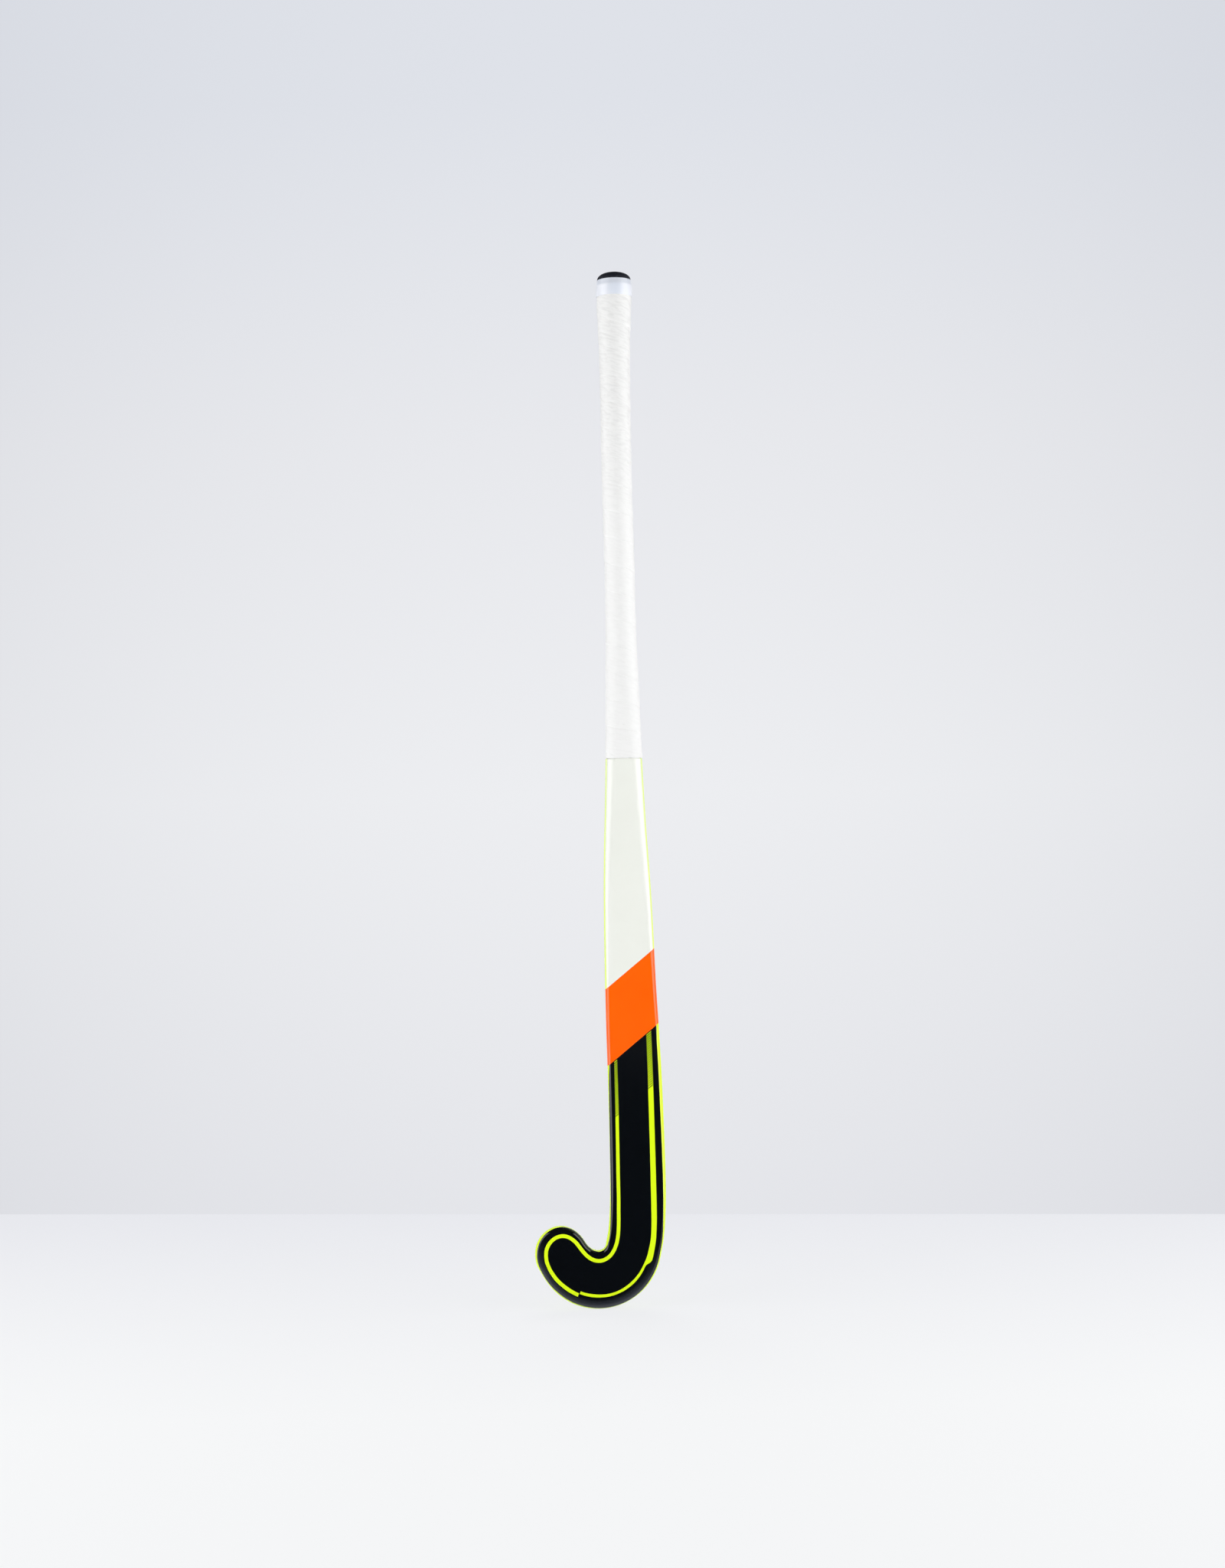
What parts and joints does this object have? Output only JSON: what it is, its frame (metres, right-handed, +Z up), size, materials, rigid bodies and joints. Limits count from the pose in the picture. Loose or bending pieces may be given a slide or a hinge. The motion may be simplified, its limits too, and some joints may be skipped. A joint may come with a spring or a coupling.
{
  "type": "indoor hockey stick",
  "caption": "One-piece composite hockey stick with a flat hooked head, a bowed shaft, a flush heel guard and a spirally wound handle grip closed by a domed butt cap.",
  "frame": {"origin": "middle of the bounding box at the base, where the standing stick's head touches the floor", "axes": "+Z runs up the handle, -Y is the side of the flat playing face, -X is the side of the toe"},
  "size_m": [0.1188, 0.0474, 0.9253],
  "materials": {
    "lacquered_composite": "gloss",
    "dense_foam": "matte",
    "light_foam": "matte",
    "guard_resin": "satin",
    "plug_plastic": "matte",
    "cap_rubber": "matte",
    "grip_polyurethane": "matte",
    "tape_film": "satin"
  },
  "bodies": {
    "root": {"stick_shell": "lacquered_composite", "head_core": "dense_foam", "shaft_core": "light_foam", "heel_guard": "guard_resin", "handle_plug": "plug_plastic", "butt_cap": "cap_rubber", "grip_wrap": "grip_polyurethane", "finishing_tape": "tape_film"}
  },
  "joints": []
}
